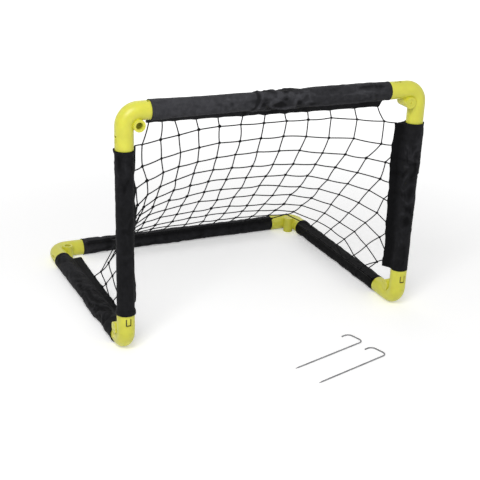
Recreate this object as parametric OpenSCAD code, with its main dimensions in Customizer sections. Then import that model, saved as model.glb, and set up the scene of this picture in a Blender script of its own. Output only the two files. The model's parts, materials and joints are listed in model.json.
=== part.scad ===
// Folding goal: a frame of six steel tubes in padded fabric sleeves, joined by six moulded elbows,
// with a knotted net inside and two wire ground pegs lying in front of it.
// The two front elbows are hinged, so that the front frame folds back over the base.
// X runs along the crossbar, Y runs back from the goal mouth, Z is up. The frame is drawn from the centre lines
// of its tubes, with the posts at y = 0 and the base tubes at z = 0, and is then set down on the ground.

/* [Frame] */
// Width between the centre lines of the posts
goal_w = 860; // [840:10:960]
// Height of the crossbar's centre line over the base tubes' centre lines
goal_h = 640; // [630:10:740]
// Depth from the posts' centre lines to the rear tube's centre line
goal_d = 700; // [640:10:760]

/* [Tubes] */
// Outer diameter of the steel tubes
tube_od = 42; // [40:0.5:43]
// Wall of the steel tubes
tube_wall = 1.5; // [1:0.25:2.5]
// Distance from a frame corner to the end of each tube
tube_stop = 46; // [44:1:50]
// Radius of the snap holes near the tube ends
snap_hole_r = 3; // [2.5:0.25:4]

/* [Elbows] */
// Wall of the elbow sockets
socket_wall = 3.2; // [2.6:0.2:3.6]
// Radial clearance between a tube and its socket
socket_fit = 0.3; // [0.2:0.05:0.5]
// Radius of the bend, at its centre line
bend_r = 38; // [37:1:42]
// Length of the top elbows' legs, from the corner to the socket mouth
top_leg = 97; // [92:1:97]
// Length of the front elbows' upright legs
front_post_leg = 95; // [90:1:95]
// Length of the front elbows' legs along the ground
front_side_leg = 105; // [98:1:105]
// Length of the rear elbows' legs
rear_leg = 90; // [87:1:92]

/* [Snap tongues] */
// Length of the moulded snap tongues
tongue_len = 22; // [18:1:24]
// Width of the snap tongues
tongue_w = 9; // [8:0.5:11]
// Width of the slit along each side of a tongue
tongue_slit = 3.5; // [2.5:0.25:4]
// Width of the opening at the free end of a tongue
tongue_notch = 4.5; // [3:0.5:6]
// Distance from the socket mouth to the free end of the tongue
tongue_set = 38; // [35:1:44]
// Clearance between a tongue's nub and the snap hole
snap_fit = 0.4; // [0.3:0.1:0.6]

/* [Hinge barrels] */
// Radius of the barrel in the inner corner of each elbow
barrel_r = 16; // [14:0.5:16.5]
// Distance from the barrel's axis to both tube centre lines
barrel_set = 33; // [32:0.5:34]
// Width of the middle knuckle
knuckle_w = 20; // [16:1:22]
// Clearance round and beside each knuckle, and between the halves of a hinged elbow
knuckle_gap = 0.4; // [0.3:0.1:0.6]
// Radius of the bolt's shank
bolt_r = 4; // [3:0.5:5]
// Running clearance between the shank and its bores
bolt_fit = 0.05; // [0.02:0.01:0.1]
// Radius of the recesses for the bolt head and the cap nut
recess_r = 9.5; // [8.5:0.25:10.5]
// Depth of the recess on the bolt head's side
head_recess = 12; // [10:0.5:12]
// Thickness of the bolt head
head_t = 4.5; // [3:0.5:6]
// Thickness of the cap nut
nut_t = 6; // [4:0.5:8]
// Radius of the dimple in the nut's face
dimple_r = 2.2; // [1.5:0.1:3]

/* [Sleeves] */
// Fabric wall where a sleeve is drawn over a socket
sleeve_cloth = 0.8; // [0.6:0.1:1.5]
// Gap between a sleeve and what is inside it or ends beside it
sleeve_gap = 0.3; // [0.2:0.1:0.5]
// Distance from the left corner to the crossbar sleeve's hem
crossbar_hem = 66; // [62:1:72]
// Distance from the right corner to the crossbar sleeve's other hem
crossbar_end = 99; // [98:1:103]
// Height of the left post's hem over the base tubes
left_hem = 88; // [72:1:88]
// Height of the right post's hem over the base tubes
right_hem = 96; // [96:1:97]
// How far the flat seam flap stands out of a sleeve
flap_out = 28; // [20:1:30]
// Thickness of the two layers of cloth in the flap
flap_t = 2.4; // [1.6:0.2:4]
// Angle of the crossbar's and the right post's flaps behind the plane of the frame
front_flap_deg = 27; // [18:1:30]
// Angle of the left post's flap behind the plane of the frame
left_post_flap_deg = 45; // [27:1:48]
// Angle of the raised flaps on the right and rear tubes
raised_flap_deg = 40; // [25:1:40]
// Angle of the left tube's flap, which lies almost flat
left_flap_deg = 5; // [0:1:30]
// Where the crossbar's flap ends, from the right corner
crossbar_flap_end = 104; // [104:1:106]
// Height at which the posts' flaps end
post_flap_foot = 98; // [90:1:104]
// Distance from the rear corners at which the base flaps end
rear_flap_end = 94; // [93:1:95]

/* [Net] */
// Thickness of the net's cord
cord_t = 2.8; // [2:0.2:3.4]
// Spacing of the strands along the crossbar
strand_step = 68; // [62:0.5:68]
// Spacing of the first strands on the left, which are pushed together
bunch_step = 34; // [24:1:34]
// Spacing of the strands along the rear tube
rear_step = 59; // [56:1:60]
// Tension of the rows as a share of the columns' tension
row_tension = 0.3; // [0.2:0.05:0.6]

/* [Ground pegs] */
// Diameter of the pegs' wire
peg_d = 4; // [3:0.5:6]
// Length of a peg's straight shank
peg_len = 250; // [180:1:280]
// Width of the hook, between the wire's centre lines
hook_w = 58; // [50:1:64]
// Bend radius of the hook's corners
hook_bend = 16; // [10:1:22]
// Length of the hook's free end
hook_end = 11; // [4:1:20]
// Length of the point
peg_point = 12; // [8:1:20]
// How far the first peg's point lies in front of the posts
peg_1_front = 263; // [256:1:280]
// How far the second peg's point lies in front of the posts
peg_2_front = 356; // [350:1:410]
// Angle of the pegs on the ground
peg_deg = 17; // [14:1:20]

/* [Hidden] */
$fn = 48;

lime = [0.88, 0.87, 0.33];
black_cloth = [0.14, 0.14, 0.15];
black_steel = [0.08, 0.08, 0.08];
black_cord = [0.05, 0.05, 0.05];
zinc = [0.6, 0.6, 0.62];

tube_r = tube_od / 2;
socket_r = tube_r + socket_fit;
elbow_r = socket_r + socket_wall;
bend_bore_r = tube_r - tube_wall - 1;     // leaves a shoulder for the tube's end
half_w = goal_w / 2;
cut = 1;                                  // how far a cutting tool runs past what it cuts
far = 4 * top_leg;                        // a size larger than any elbow

nub_at = tongue_set - 16;                 // from the socket mouth to the nub and the snap hole
nub_in = 1.3;                             // how far the nub reaches into the snap hole

barrel_half = elbow_r;                    // the barrels end level with the elbows' outside
head_r = recess_r - 2;
nut_r = recess_r - knuckle_gap;
shank_from = nut_t - barrel_half;         // the shank ends level with the nut's inner face
shank_to = barrel_half - head_recess;
driver_r = bolt_r * 0.7;

flap_r = elbow_r + flap_out;              // from a tube's centre line to the free edge of its flap
flap_root = elbow_r + 9;                  // where the two layers of cloth meet
flap_spread = 58;                         // the angle at which the cloth leaves the round
flap_tuck = 0.985;                        // its share of the radius there, to start inside the round
cloth_r = tube_r + sleeve_gap;            // the inside of a sleeve on its tube
drawn_r = elbow_r + sleeve_gap;           // the inside of a sleeve drawn over a socket
front_sleeve_r = drawn_r + sleeve_cloth;

peg_r = peg_d / 2;
peg_tip_r = peg_r / 4;
peg_1_x = -43;
peg_2_x = -21;

// The ground is level with the elbows' underside, and the whole object's middle stands over the origin.
front_end = peg_tip_r * cos(peg_deg) + peg_2_front;
rear_end = goal_d + elbow_r;
ground_shift = [0, (front_end - rear_end) / 2, elbow_r];

// ---- Places: at each corner local X and Y run along the two legs and local Z along the barrel ----

module at_top() translate([-half_w, 0, goal_h]) rotate([-90, 0, 0]) children();
module at_front() translate([-half_w, 0, 0]) rotate([90, 0, 90]) children();
module at_rear() translate([-half_w, goal_d, 0]) rotate([180, 0, 0]) children();
module on_ground() translate(ground_shift) children();
module on_right() mirror([1, 0, 0]) children();
module swapped() mirror([1, -1, 0]) children();

// ---- Elbows ----

module along_x(r, from, to) translate([from, 0, 0]) rotate([0, 90, 0]) cylinder(r = r, h = to - from);
module along_y(r, from, to) swapped() along_x(r, from, to);
module bend(r) translate([bend_r, bend_r, 0]) rotate(180) rotate_extrude(angle = 90)
    translate([bend_r, 0]) circle(r = r);

// A length of the barrel between two heights.
module barrel(r, from, to) translate([barrel_set, barrel_set, from]) cylinder(r = r, h = to - from);

module elbow_outside(x_leg, y_leg) {
    along_x(elbow_r, bend_r, x_leg);
    along_y(elbow_r, bend_r, y_leg);
    bend(elbow_r);
}

module elbow_inside(x_leg, y_leg) {
    along_x(bend_bore_r, bend_r, x_leg);
    along_x(socket_r, tube_stop, x_leg + cut);
    along_y(bend_bore_r, bend_r, y_leg);
    along_y(socket_r, tube_stop, y_leg + cut);
    bend(bend_bore_r);
}

// The U-shaped slit that frees a tongue in the outer wall of the leg along X; its root is towards the mouth.
module tongue_slits(len) translate([len - tongue_set, -elbow_r - cut, 0]) {
    for (side = [-1, 1])
        translate([0, 0, side * (tongue_w + tongue_slit) / 2 - tongue_slit / 2])
            cube([tongue_len, 2 * socket_wall + cut, tongue_slit]);
    translate([0, 0, -tongue_w / 2 - tongue_slit])
        cube([tongue_notch, 2 * socket_wall + cut, tongue_w + 2 * tongue_slit]);
}

module tongue_nub(len) translate([len - nub_at, -socket_r - socket_wall / 2, 0]) rotate([-90, 0, 0])
    cylinder(r = snap_hole_r - snap_fit, h = socket_wall / 2 + nub_in);

module elbow_shell(x_leg, y_leg) {
    difference() {
        elbow_outside(x_leg, y_leg);
        elbow_inside(x_leg, y_leg);
        tongue_slits(x_leg);
        swapped() tongue_slits(y_leg);
    }
    tongue_nub(x_leg);
    swapped() tongue_nub(y_leg);
}

// The bore for the shank, with a deep recess for the bolt's head and a shallow one for the nut.
module bolt_bore() {
    barrel(bolt_r + bolt_fit, -barrel_half, barrel_half);
    barrel(recess_r, shank_to, barrel_half + cut);
    barrel(recess_r, -barrel_half - cut, shank_from);
}

// The head points up the barrel's axis, or down it where the elbow is fitted the other way round.
module head(up) mirror([0, 0, up ? 0 : 1]) children();

module solid_elbow(x_leg, y_leg, up) color(lime) difference() {
    union() {
        elbow_shell(x_leg, y_leg);
        difference() {
            barrel(barrel_r, -barrel_half, barrel_half);
            elbow_inside(x_leg, y_leg);
        }
    }
    head(up) bolt_bore();
}

module below_split() translate([-far / 2, barrel_set - knuckle_gap / 2 - far, -far / 2]) cube(far);
module above_split() translate([-far / 2, barrel_set + knuckle_gap / 2, -far / 2]) cube(far);

// The lower half of a hinged elbow carries the bend, the leg along X and the two outer knuckles.
module lower_half(x_leg, y_leg, up) color(lime) {
    inner = (knuckle_w + knuckle_gap) / 2;
    difference() {
        union() {
            difference() {
                intersection() {
                    elbow_shell(x_leg, y_leg);
                    below_split();
                }
                barrel(barrel_r + knuckle_gap, -inner, inner);
            }
            difference() {
                union() {
                    barrel(barrel_r, inner, barrel_half);
                    barrel(barrel_r, -barrel_half, -inner);
                }
                elbow_inside(x_leg, y_leg);
            }
        }
        head(up) bolt_bore();
    }
}

// The upper half carries the upright socket and the middle knuckle.
module upper_half(x_leg, y_leg) color(lime) {
    outer = (knuckle_w - knuckle_gap) / 2;
    difference() {
        union() {
            difference() {
                intersection() {
                    elbow_shell(x_leg, y_leg);
                    above_split();
                }
                barrel(barrel_r + knuckle_gap, outer, barrel_half + cut);
                barrel(barrel_r + knuckle_gap, -barrel_half - cut, -outer);
            }
            difference() {
                barrel(barrel_r, -outer, outer);
                elbow_inside(x_leg, y_leg);
            }
        }
        barrel(bolt_r + bolt_fit, -barrel_half, barrel_half);
    }
}

module bolt(up) color(zinc) head(up) difference() {
    union() {
        barrel(bolt_r, shank_from, shank_to);
        barrel(head_r, shank_to, shank_to + head_t);
    }
    translate([barrel_set, barrel_set, shank_to + head_t / 2]) cylinder(r = driver_r, h = head_t, $fn = 6);
}

module cap_nut(up) color(lime) head(up) difference() {
    barrel(nut_r, -barrel_half, shank_from);
    barrel(dimple_r, -barrel_half - cut, nut_t / 3 - barrel_half);
}

// ---- Tubes ----

// A tube along X between two frame corners, with a snap hole near each end. The first hole faces -Y,
// and the last one is turned from there about the tube.
module tube(span, leg_a, leg_b, turn_b) color(black_steel) difference() {
    along_x(tube_r, tube_stop, span - tube_stop);
    along_x(tube_r - tube_wall, tube_stop - cut, span - tube_stop + cut);
    snap_hole(leg_a - nub_at, 0);
    snap_hole(span - leg_b + nub_at, turn_b);
}

module snap_hole(x, turn) rotate([turn, 0, 0]) translate([x, -tube_r - cut, 0]) rotate([-90, 0, 0])
    cylinder(r = snap_hole_r, h = tube_r);

// ---- Sleeves ----

// Across the tube, the cloth leaves the round and narrows to a flat double flap, here along X.
module flap_outline(r) polygon([
    [0, 0],
    [r * cos(flap_spread), r * sin(flap_spread)] * flap_tuck,
    [flap_root, flap_t / 2],
    [flap_r, flap_t / 2],
    [flap_r, -flap_t / 2],
    [flap_root, -flap_t / 2],
    [r * cos(flap_spread), -r * sin(flap_spread)] * flap_tuck
]);

// A sleeve along X from a to b, of outer radius r. Its flap runs from flap_a to flap_b, turned by flap_deg
// from +Y towards +Z. It is drawn over the sockets as far as over_a and from over_b.
module sleeve(r, a, b, flap_a, flap_b, flap_deg, over_a, over_b) color(black_cloth) difference() {
    union() {
        along_x(r, a, b);
        translate([flap_a, 0, 0]) rotate([flap_deg, 0, 0]) rotate([90, 0, 90])
            linear_extrude(height = flap_b - flap_a) flap_outline(r);
    }
    along_x(cloth_r, a - cut, b + cut);
    if (over_a > a)
        along_x(drawn_r, a - cut, over_a + sleeve_gap);
    if (over_b < b)
        along_x(drawn_r, over_b - sleeve_gap, b + cut);
}

module crossbar_cover() translate([-half_w, 0, goal_h]) rotate([-90, 0, 0])
    sleeve(front_sleeve_r, crossbar_hem, goal_w - crossbar_end, crossbar_hem,
        goal_w - crossbar_flap_end, front_flap_deg, top_leg, goal_w - top_leg);

// A post's sleeve, from the hem over the front elbow's socket up to the top elbow's mouth.
module post_cover(hem, flap_deg) translate([-half_w, 0, 0]) rotate([0, -90, -90])
    sleeve(front_sleeve_r, hem, goal_h - top_leg - sleeve_gap, post_flap_foot,
        goal_h - top_leg - sleeve_gap - cut, flap_deg, front_post_leg, goal_h);

module side_cover(flap_deg) translate([-half_w, 0, 0]) swapped()
    sleeve(elbow_r, front_side_leg + sleeve_gap, goal_d - rear_leg - sleeve_gap,
        front_side_leg + sleeve_gap, goal_d - rear_flap_end, flap_deg, 0, goal_d);

module rear_cover() translate([-half_w, goal_d, 0]) mirror([0, 1, 0])
    sleeve(elbow_r, rear_leg + sleeve_gap, goal_w - rear_leg - sleeve_gap, rear_flap_end,
        goal_w - rear_flap_end, raised_flap_deg, 0, goal_w);

// ---- Net ----

// Columns are numbered 0 to 11 along the crossbar and go on past both posts; rows are numbered 1 to 10 from the
// crossbar to the rear tube. Past the crossbar's columns, each column is shorter than the one before.
net_rows = 10;
last_column = 11;
beyond = 4;
first_row = [1, 3, 5, 7, 8];
last_row = [10, 10, 10, 9, 9];
post_rows = 7;
bunched = 2;

// Where strands are held: rows 2 to 7 and the outer columns by height on the posts, rows 8 to 10 and
// the columns' lower ends by distance from the front corner along the side tubes.
row_heights = [474, 417, 363, 306, 238, 148];
column_heights = [443, 328, 210, 121];
row_distances = [140, 162, 273];
column_distances = [524, 441, 363, 252, 178];

strand_r = cord_t / 2;
hold = flap_r + strand_r + sleeve_gap;    // the strands end just clear of the flaps
first_strand = crossbar_hem + strand_r + cut;
top_row_drop = top_leg + strand_r + 2 * cut;
last_rear_strand = rear_flap_end + strand_r + cut;

// Directions from a knot, as [column, row] steps: right, up, left and down.
STEPS = [[1, 0], [0, -1], [-1, 0], [0, 1]];

function out_of(c) = c < 0 ? -c : max(c - last_column, 0);
function is_knot(c, r) = out_of(c) <= beyond && r >= first_row[out_of(c)] && r <= last_row[out_of(c)];
function side_of(c) = c > last_column / 2 ? 1 : -1;

function crossbar_hold(c) = [
    first_strand - half_w + bunch_step * min(c, bunched) + strand_step * max(c - bunched, 0),
    hold * sin(front_flap_deg),
    goal_h - hold * cos(front_flap_deg)
];
function post_flap(side) = side > 0 ? front_flap_deg : left_post_flap_deg;
function post_hold(side, z) = [
    side * (half_w - hold * cos(post_flap(side))),
    hold * sin(post_flap(side)),
    z
];
function side_hold(side, y) = side > 0
    ? [half_w - hold * cos(raised_flap_deg), y, hold * sin(raised_flap_deg)]
    : [hold * cos(left_flap_deg) - half_w, y, hold * sin(left_flap_deg)];
function rear_hold(c) = [
    half_w - last_rear_strand - rear_step * (last_column - 1 - c),
    goal_d - hold * cos(raised_flap_deg),
    hold * sin(raised_flap_deg)
];

// Where the strand that leaves knot (c, r) in direction k is held.
function row_hold(side, r) = r > post_rows
    ? side_hold(side, row_distances[r - post_rows - 1])
    : post_hold(side, r == 1 ? goal_h - top_row_drop : row_heights[r - 2]);
function up_hold(c) = out_of(c) == 0 ? crossbar_hold(c) : post_hold(side_of(c), column_heights[out_of(c) - 1]);
function down_hold(c) = c >= 0 && c < last_column ? rear_hold(c) : side_hold(side_of(c), column_distances[out_of(c)]);
function held(c, r, k) = k == 1 ? up_hold(c) : k == 3 ? down_hold(c) : row_hold(k == 0 ? 1 : -1, r);

// Every knot settles at the mean of its four neighbours, weighted by the strands' tension.
COLUMNS = [for (c = [-beyond : last_column + beyond]) c];
function place(p, c, r) = p[c + beyond][r - 1];
function next_to(p, c, r, k) = is_knot(c + STEPS[k][0], r + STEPS[k][1])
    ? place(p, c + STEPS[k][0], r + STEPS[k][1])
    : held(c, r, k);
function settled(p, c, r) = (row_tension * (next_to(p, c, r, 0) + next_to(p, c, r, 2))
    + next_to(p, c, r, 1) + next_to(p, c, r, 3)) / (2 * row_tension + 2);
function relaxed(p) = [for (c = COLUMNS) [for (r = [1 : net_rows]) is_knot(c, r) ? settled(p, c, r) : undef]];
function relax(p, times) = times == 0 ? p : relax(relaxed(p), times - 1);
slack_net = [for (c = COLUMNS) [for (r = [1 : net_rows])
    is_knot(c, r) ? up_hold(c) + (down_hold(c) - up_hold(c)) * r / (net_rows + 1) : undef]];
net_places = relax(slack_net, 240);

// Each knot has six points: one above, one below and one in each angle between neighbouring strands.
function unit(v) = v / norm(v);
function towards(c, r, k) = unit(next_to(net_places, c, r, k) - place(net_places, c, r));
function knot_normal(c, r) = unit(cross(
    towards(c, r, 0) - towards(c, r, 2), towards(c, r, 1) - towards(c, r, 3)));
function corner(c, r, k) =
    let (a = towards(c, r, k), b = towards(c, r, (k + 1) % 4))
    place(net_places, c, r) + strand_r * (a + b) / max(norm(cross(a, b)), 0.4);
function knot_points(c, r) =
    let (p = place(net_places, c, r), n = knot_normal(c, r) * strand_r)
    [p + n, p - n, corner(c, r, 0), corner(c, r, 1), corner(c, r, 2), corner(c, r, 3)];

// A strand's held end has four points: above, left, below and right of the cord.
function end_points(c, r, k) =
    let (
        p = held(c, r, k),
        d = towards(c, r, k),
        s = unit(cross(knot_normal(c, r), d)) * strand_r,
        n = cross(d, s)
    )
    [p + n, p + s, p - n, p - s];

knots = [for (c = COLUMNS) for (r = [1 : net_rows]) if (is_knot(c, r)) [c, r]];
ends = [for (q = knots) for (k = [0 : 3])
    if (!is_knot(q[0] + STEPS[k][0], q[1] + STEPS[k][1])) [q[0], q[1], k]];
net_points = concat(
    [for (q = knots) each knot_points(q[0], q[1])],
    [for (e = ends) each end_points(e[0], e[1], e[2])]);

// The number of knots in the columns before each one gives every knot its place in the list of points.
function knots_in(c) = last_row[out_of(c)] - first_row[out_of(c)] + 1;
knots_before = [for (i = 0, n = 0; i < len(COLUMNS); n = n + knots_in(COLUMNS[i]), i = i + 1) n];
function index_of(c, r) = 6 * (knots_before[c + beyond] + r - first_row[out_of(c)]);

// The four points round the cord where a strand leaves a knot in direction k, and where it reaches the next.
function leaving(i, k) = [i, i + 2 + k, i + 1, i + 2 + (k + 3) % 4];
function reaching(i, k) = [i, i + 2 + (k + 1) % 4, i + 1, i + 2 + (k + 2) % 4];
function skin(a, b) = [for (i = [0 : 3]) each let (j = (i + 1) % 4) [[a[i], a[j], b[j]], [a[i], b[j], b[i]]]];

first_end = 6 * len(knots);
net_faces = concat(
    [for (q = knots) for (k = [0, 3])
        let (c = q[0] + STEPS[k][0], r = q[1] + STEPS[k][1])
        if (is_knot(c, r)) each skin(leaving(index_of(q[0], q[1]), k), reaching(index_of(c, r), k))],
    [for (n = [0 : len(ends) - 1])
        let (i = first_end + 4 * n, e = ends[n])
        each concat(
            skin(leaving(index_of(e[0], e[1]), e[2]), [i, i + 1, i + 2, i + 3]),
            [[i, i + 1, i + 2], [i, i + 2, i + 3]])]);

// ---- Ground pegs ----

module peg_wire(from, to) translate([from, 0, 0]) rotate([0, 90, 0]) cylinder(r = peg_r, h = to - from, $fn = 16);
module peg_corner() rotate(-90) rotate_extrude(angle = 90) translate([hook_bend, 0]) circle(r = peg_r, $fn = 16);

// A peg along X with its point at the origin; the hook turns to the left.
module peg() color(zinc) {
    rotate([0, 90, 0]) cylinder(r1 = peg_tip_r, r2 = peg_r, h = peg_point, $fn = 16);
    peg_wire(peg_point, peg_len);
    translate([peg_len, hook_bend, 0]) peg_corner();
    translate([peg_len + hook_bend, 0, 0]) rotate(90) peg_wire(hook_bend, hook_w - hook_bend);
    translate([peg_len, hook_w - hook_bend, 0]) rotate(90) peg_corner();
    translate([0, hook_w, 0]) peg_wire(peg_len - hook_end, peg_len);
}

module lying_peg(x, front) on_ground() translate([x, -front, peg_r - elbow_r]) rotate(peg_deg) peg();

// ---- The parts ----

module crossbar_tube() on_ground() at_top() tube(goal_w, top_leg, top_leg, 0);
module left_post_tube() on_ground() at_front() swapped() tube(goal_h, front_post_leg, top_leg, 90);
module right_post_tube() on_right() left_post_tube();
module left_side_tube() on_ground() at_front() tube(goal_d, front_side_leg, rear_leg, 90);
module right_side_tube() on_right() left_side_tube();
module rear_tube() on_ground() at_rear() tube(goal_w, rear_leg, rear_leg, 0);

module top_left_elbow() on_ground() at_top() solid_elbow(top_leg, top_leg, false);
module top_right_elbow() on_right() on_ground() at_top() solid_elbow(top_leg, top_leg, true);
module rear_left_elbow() on_ground() at_rear() solid_elbow(rear_leg, rear_leg, false);
module rear_right_elbow() on_right() on_ground() at_rear() solid_elbow(rear_leg, rear_leg, true);
module front_lower(up) on_ground() at_front() lower_half(front_side_leg, front_post_leg, up);
module front_left_lower_half() front_lower(true);
module front_right_lower_half() on_right() front_lower(false);
module front_left_upper_half() on_ground() at_front() upper_half(front_side_leg, front_post_leg);
module front_right_upper_half() on_right() front_left_upper_half();

module top_left_bolt() on_ground() at_top() bolt(false);
module top_right_bolt() on_right() on_ground() at_top() bolt(true);
module rear_left_bolt() on_ground() at_rear() bolt(false);
module rear_right_bolt() on_right() on_ground() at_rear() bolt(true);
module front_left_bolt() on_ground() at_front() bolt(true);
module front_right_bolt() on_right() on_ground() at_front() bolt(false);
module top_left_nut() on_ground() at_top() cap_nut(false);
module top_right_nut() on_right() on_ground() at_top() cap_nut(true);
module rear_left_nut() on_ground() at_rear() cap_nut(false);
module rear_right_nut() on_right() on_ground() at_rear() cap_nut(true);
module front_left_nut() on_ground() at_front() cap_nut(true);
module front_right_nut() on_right() on_ground() at_front() cap_nut(false);

module crossbar_sleeve() on_ground() crossbar_cover();
module left_post_sleeve() on_ground() post_cover(left_hem, left_post_flap_deg);
module right_post_sleeve() on_right() on_ground() post_cover(right_hem, front_flap_deg);
module left_side_sleeve() on_ground() side_cover(left_flap_deg);
module right_side_sleeve() on_right() on_ground() side_cover(raised_flap_deg);
module rear_sleeve() on_ground() rear_cover();

module net() color(black_cord) on_ground() polyhedron(points = net_points, faces = net_faces, convexity = 10);
module ground_peg_1() lying_peg(peg_1_x, peg_1_front);
module ground_peg_2() lying_peg(peg_2_x, peg_2_front);

crossbar_tube();
left_post_tube();
right_post_tube();
left_side_tube();
right_side_tube();
rear_tube();
top_left_elbow();
top_right_elbow();
rear_left_elbow();
rear_right_elbow();
front_left_lower_half();
front_right_lower_half();
front_left_upper_half();
front_right_upper_half();
top_left_bolt();
top_right_bolt();
rear_left_bolt();
rear_right_bolt();
front_left_bolt();
front_right_bolt();
top_left_nut();
top_right_nut();
rear_left_nut();
rear_right_nut();
front_left_nut();
front_right_nut();
crossbar_sleeve();
left_post_sleeve();
right_post_sleeve();
left_side_sleeve();
right_side_sleeve();
rear_sleeve();
net();
ground_peg_1();
ground_peg_2();
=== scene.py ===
"""Folding goal: fabric sleeves, knotted net, moulded elbows, wire pegs and a plain studio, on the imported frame."""
import json
import math

import bpy
import numpy as np
from bpy.props import FloatProperty, FloatVectorProperty, IntProperty, PointerProperty
from mathutils import Matrix, Vector


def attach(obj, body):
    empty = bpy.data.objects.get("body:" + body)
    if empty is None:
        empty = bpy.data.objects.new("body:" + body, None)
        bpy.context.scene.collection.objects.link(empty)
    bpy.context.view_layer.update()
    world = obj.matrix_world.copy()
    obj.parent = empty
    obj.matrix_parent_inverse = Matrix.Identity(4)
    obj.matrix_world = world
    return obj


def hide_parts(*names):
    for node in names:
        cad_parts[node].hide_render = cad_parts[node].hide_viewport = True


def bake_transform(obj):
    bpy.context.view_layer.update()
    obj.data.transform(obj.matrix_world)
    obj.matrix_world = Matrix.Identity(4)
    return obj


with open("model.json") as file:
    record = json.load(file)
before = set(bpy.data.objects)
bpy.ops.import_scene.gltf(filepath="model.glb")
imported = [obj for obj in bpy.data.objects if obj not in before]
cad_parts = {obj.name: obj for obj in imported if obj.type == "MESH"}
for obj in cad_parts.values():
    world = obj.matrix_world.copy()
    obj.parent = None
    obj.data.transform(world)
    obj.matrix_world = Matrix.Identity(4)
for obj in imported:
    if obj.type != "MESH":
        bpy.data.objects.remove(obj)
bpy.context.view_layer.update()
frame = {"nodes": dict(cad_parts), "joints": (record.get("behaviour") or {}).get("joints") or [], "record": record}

bl_info = {
    "name": "Folding Goal",
    "version": (1, 0, 0),
    "blender": (4, 5, 0),
    "location": "View3D > Sidebar > Goal",
    "description": "Dresses a folding goal frame in cloth sleeves, a knotted net and moulded plastic",
    "category": "Object",
}

# The hinge of the front frame gives the places of the posts and of the base tubes: its barrels are set in from the
# centre lines of both.
FOLD = next(j for j in frame["joints"] if j["name"] == "front_fold")
HINGE = np.array(FOLD["pos_m"])
BARREL_SET = 0.033
POST_Y = HINGE[1] - BARREL_SET
BASE_Z = HINGE[2] - BARREL_SET

# Cloth: spacing of the threads and of the stitches, distances of two seams from a flap's edge and of a hem's stitches
# from the sleeve's end.
THREAD, STITCH = 0.0011, 0.0042
SEAMS, HEM = (0.0035, 0.0215), 0.011
# The mesh of a sleeve: spacing of its rings, points on each face of the flap and round the tube.
RING_STEP, FLAP_POINTS, ROUND_POINTS = 0.0036, 9, 46
# Least radius of the cloth on a bare tube, length over which it comes off a socket, its gap to the ground and the
# gap between a sleeve's end and the elbow that it meets.
LEAST_RADIUS, SOCKET_EASE, GROUND_GAP, CUT = 0.0223, 0.012, 0.0012, 0.0003
# Flap: length over which its ends are cut off, angle at which it leaves the round, share of it that lies flat.
FLAP_TAPER, FLAP_LEAVE, FLAT_SHARE = 0.004, math.radians(46), 0.66
# Net: how far inside the flap's edge a strand ends, spread of the knots, and how much a strand bends at a knot.
TIE_INSIDE, KNOT_SPREAD, BEND = 0.004, 0.0018, 0.12
# The mesh of the net: points along and round a cord, rings and sides of a knot.
CORD_STEPS, CORD_SIDES, LUMP_ROWS, LUMP_SIDES = 8, 7, 7, 10


# ---- Settings ----

class GoalSizes(bpy.types.PropertyGroup):
    """Sizes of the frame, the sleeves and the net."""
    half_width: FloatProperty(name="Half width", description="From the middle to a post's centre line",
                              default=0.430, min=0.3, max=0.6, unit="LENGTH")
    height: FloatProperty(name="Height", description="From the base tubes to the crossbar, at their centre lines",
                          default=0.640, min=0.4, max=0.9, unit="LENGTH")
    depth: FloatProperty(name="Depth", description="From the posts to the rear tube, at their centre lines",
                         default=0.700, min=0.4, max=0.9, unit="LENGTH")
    elbow_radius: FloatProperty(name="Elbow radius", description="Outer radius of the elbows' sockets",
                                default=0.0245, min=0.02, max=0.03, unit="LENGTH")
    flap_reach: FloatProperty(name="Flap reach", description="From a tube's centre line to its flap's free edge",
                              default=0.0525, min=0.04, max=0.06, unit="LENGTH")
    cloth: FloatProperty(name="Cloth", description="Thickness of the sleeves' cloth",
                         default=0.0009, min=0.0004, max=0.002, unit="LENGTH")
    crumple: FloatProperty(name="Crumple", description="How far the cloth is creased out of its round shape",
                           default=1.0, min=0.0, max=2.0, subtype="FACTOR")
    cord: FloatProperty(name="Cord", description="Thickness of the net's cord",
                        default=0.0034, min=0.001, max=0.005, unit="LENGTH")
    row_tension: FloatProperty(name="Row tension", description="Pull of the net's rows as a share of its columns'",
                               default=0.356, min=0.1, max=1.0, subtype="FACTOR")


class GoalColours(bpy.types.PropertyGroup):
    """Colours of the goal and of the studio."""
    plastic: FloatVectorProperty(name="Plastic", description="Lime yellow of the elbows and cap nuts",
                                 subtype="COLOR", size=3, default=(0.74, 0.72, 0.07))
    cloth: FloatVectorProperty(name="Cloth", description="Black of the sleeves",
                               subtype="COLOR", size=3, default=(0.027, 0.027, 0.030))
    cord: FloatVectorProperty(name="Cord", description="Black of the net",
                              subtype="COLOR", size=3, default=(0.006, 0.006, 0.007))
    steel: FloatVectorProperty(name="Steel", description="Black coat of the tubes",
                               subtype="COLOR", size=3, default=(0.015, 0.015, 0.016))
    zinc: FloatVectorProperty(name="Zinc", description="Grey of the pegs",
                              subtype="COLOR", size=3, default=(0.36, 0.36, 0.37))
    # The bolts' colour is the elbows' lime darkened: painted shade of the barrels' recesses, tinted by a painted
    # reflection of the lime round them.
    bolt: FloatVectorProperty(name="Bolt", description="Lime darkened as painted recess shade, for the bolts",
                              subtype="COLOR", size=3, default=(0.15, 0.15, 0.008))
    floor: FloatVectorProperty(name="Floor", description="Pale floor", subtype="COLOR", size=3,
                               default=(0.93, 0.93, 0.93))


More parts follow.
